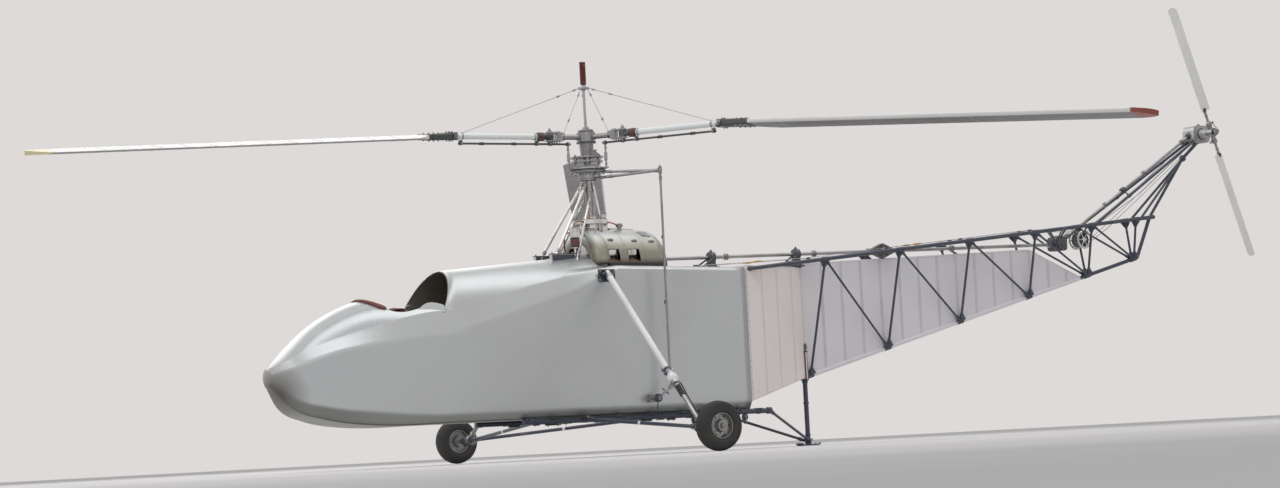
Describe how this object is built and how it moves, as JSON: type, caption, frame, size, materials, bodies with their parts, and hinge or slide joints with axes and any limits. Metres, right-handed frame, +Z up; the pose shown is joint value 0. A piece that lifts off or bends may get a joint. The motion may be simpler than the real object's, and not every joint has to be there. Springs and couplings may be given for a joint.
{
  "type": "experimental helicopter",
  "caption": "Single-seat experimental helicopter: fabric body, open tube boom, three-blade main rotor with king post, tail rotor, outrigger wheels and a tail skid.",
  "frame": {"origin": "on the ground, below the middle of the craft's overall box", "axes": "+X aft, +Y to the pilot's right, +Z up"},
  "size_m": [11.3197, 7.8255, 3.624],
  "materials": {
    "silver_fabric": "silver-doped, slightly glossy",
    "coaming_leather": "padded, worn",
    "dark_tube": "satin enamel",
    "interior_paint": "matt",
    "panel_black": "crackle",
    "bare_steel": "oiled",
    "cast_alloy": "as cast",
    "engine_iron": "painted",
    "strut_white": "gloss enamel",
    "blade_paint": "satin dope",
    "arm_dark": "satin enamel",
    "shock_red": "dull",
    "rim_metal": "satin",
    "tyre": "worn rubber"
  },
  "bodies": {
    "airframe": {"axle_knuckles": "bare_steel", "bellcrank": "cast_alloy", "belly_tubes": "dark_tube", "bevel_box": "cast_alloy", "boom_cross_tubes": "dark_tube", "boom_diagonals": "dark_tube", "boom_end": "dark_tube", "boom_longerons": "dark_tube", "boom_posts": "dark_tube", "bulkheads": "interior_paint", "cockpit_coaming": "coaming_leather", "cockpit_controls": "interior_paint", "cockpit_floor": "interior_paint", "control_bracket": "dark_tube", "control_drum": "cast_alloy", "control_rod": "bare_steel", "deck_crown": "silver_fabric", "deck_shell": "silver_fabric", "drag_tubes": "dark_tube", "engine_block": "engine_iron", "engine_cowl": "cast_alloy", "engine_cylinders": "engine_iron", "fin_panel": "silver_fabric", "instrument_panel": "panel_black", "main_gearbox": "cast_alloy", "mast": "bare_steel", "nose_shell": "silver_fabric", "pilot_seat": "coaming_leather", "pylon_legs": "dark_tube", "rear_shell": "silver_fabric", "shaft_supports": "cast_alloy", "shock_pistons": "bare_steel", "shock_struts": "strut_white", "skid_braces": "dark_tube", "skid_shock": "shock_red", "tail_gearbox": "cast_alloy", "tail_pylon": "dark_tube", "tail_shafts": "bare_steel", "tail_skid": "arm_dark", "tail_wedge": "silver_fabric"},
    "main_rotor": {"rotor_hub": "bare_steel", "rotor_arms": "arm_dark", "blade_cuffs": "arm_dark", "main_blades": "blade_paint", "king_post": "bare_steel", "rotor_stays": "bare_steel"},
    "tail_rotor": {"tail_hub": "bare_steel", "tail_blades": "strut_white"},
    "wheel_port": {"rim_port": "rim_metal", "tyre_port": "tyre"},
    "wheel_starboard": {"rim_starboard": "rim_metal", "tyre_starboard": "tyre"}
  },
  "joints": [
    {"name": "main_rotor_spin", "type": "hinge", "parent": "airframe", "child": "main_rotor", "pos_m": [-1.10302, 0, 2.455], "axis": [0, 0, 1], "continuous": true},
    {"name": "tail_rotor_spin", "type": "hinge", "parent": "airframe", "child": "tail_rotor", "pos_m": [5.22698, -0.195, 2.538], "axis": [0, 1, 0], "continuous": true},
    {"name": "wheel_port_spin", "type": "hinge", "parent": "airframe", "child": "wheel_port", "pos_m": [-1.30302, -1.895, 0.18], "axis": [0, 1, 0], "continuous": true},
    {"name": "wheel_starboard_spin", "type": "hinge", "parent": "airframe", "child": "wheel_starboard", "pos_m": [-1.30302, 1.895, 0.18], "axis": [0, 1, 0], "continuous": true}
  ]
}
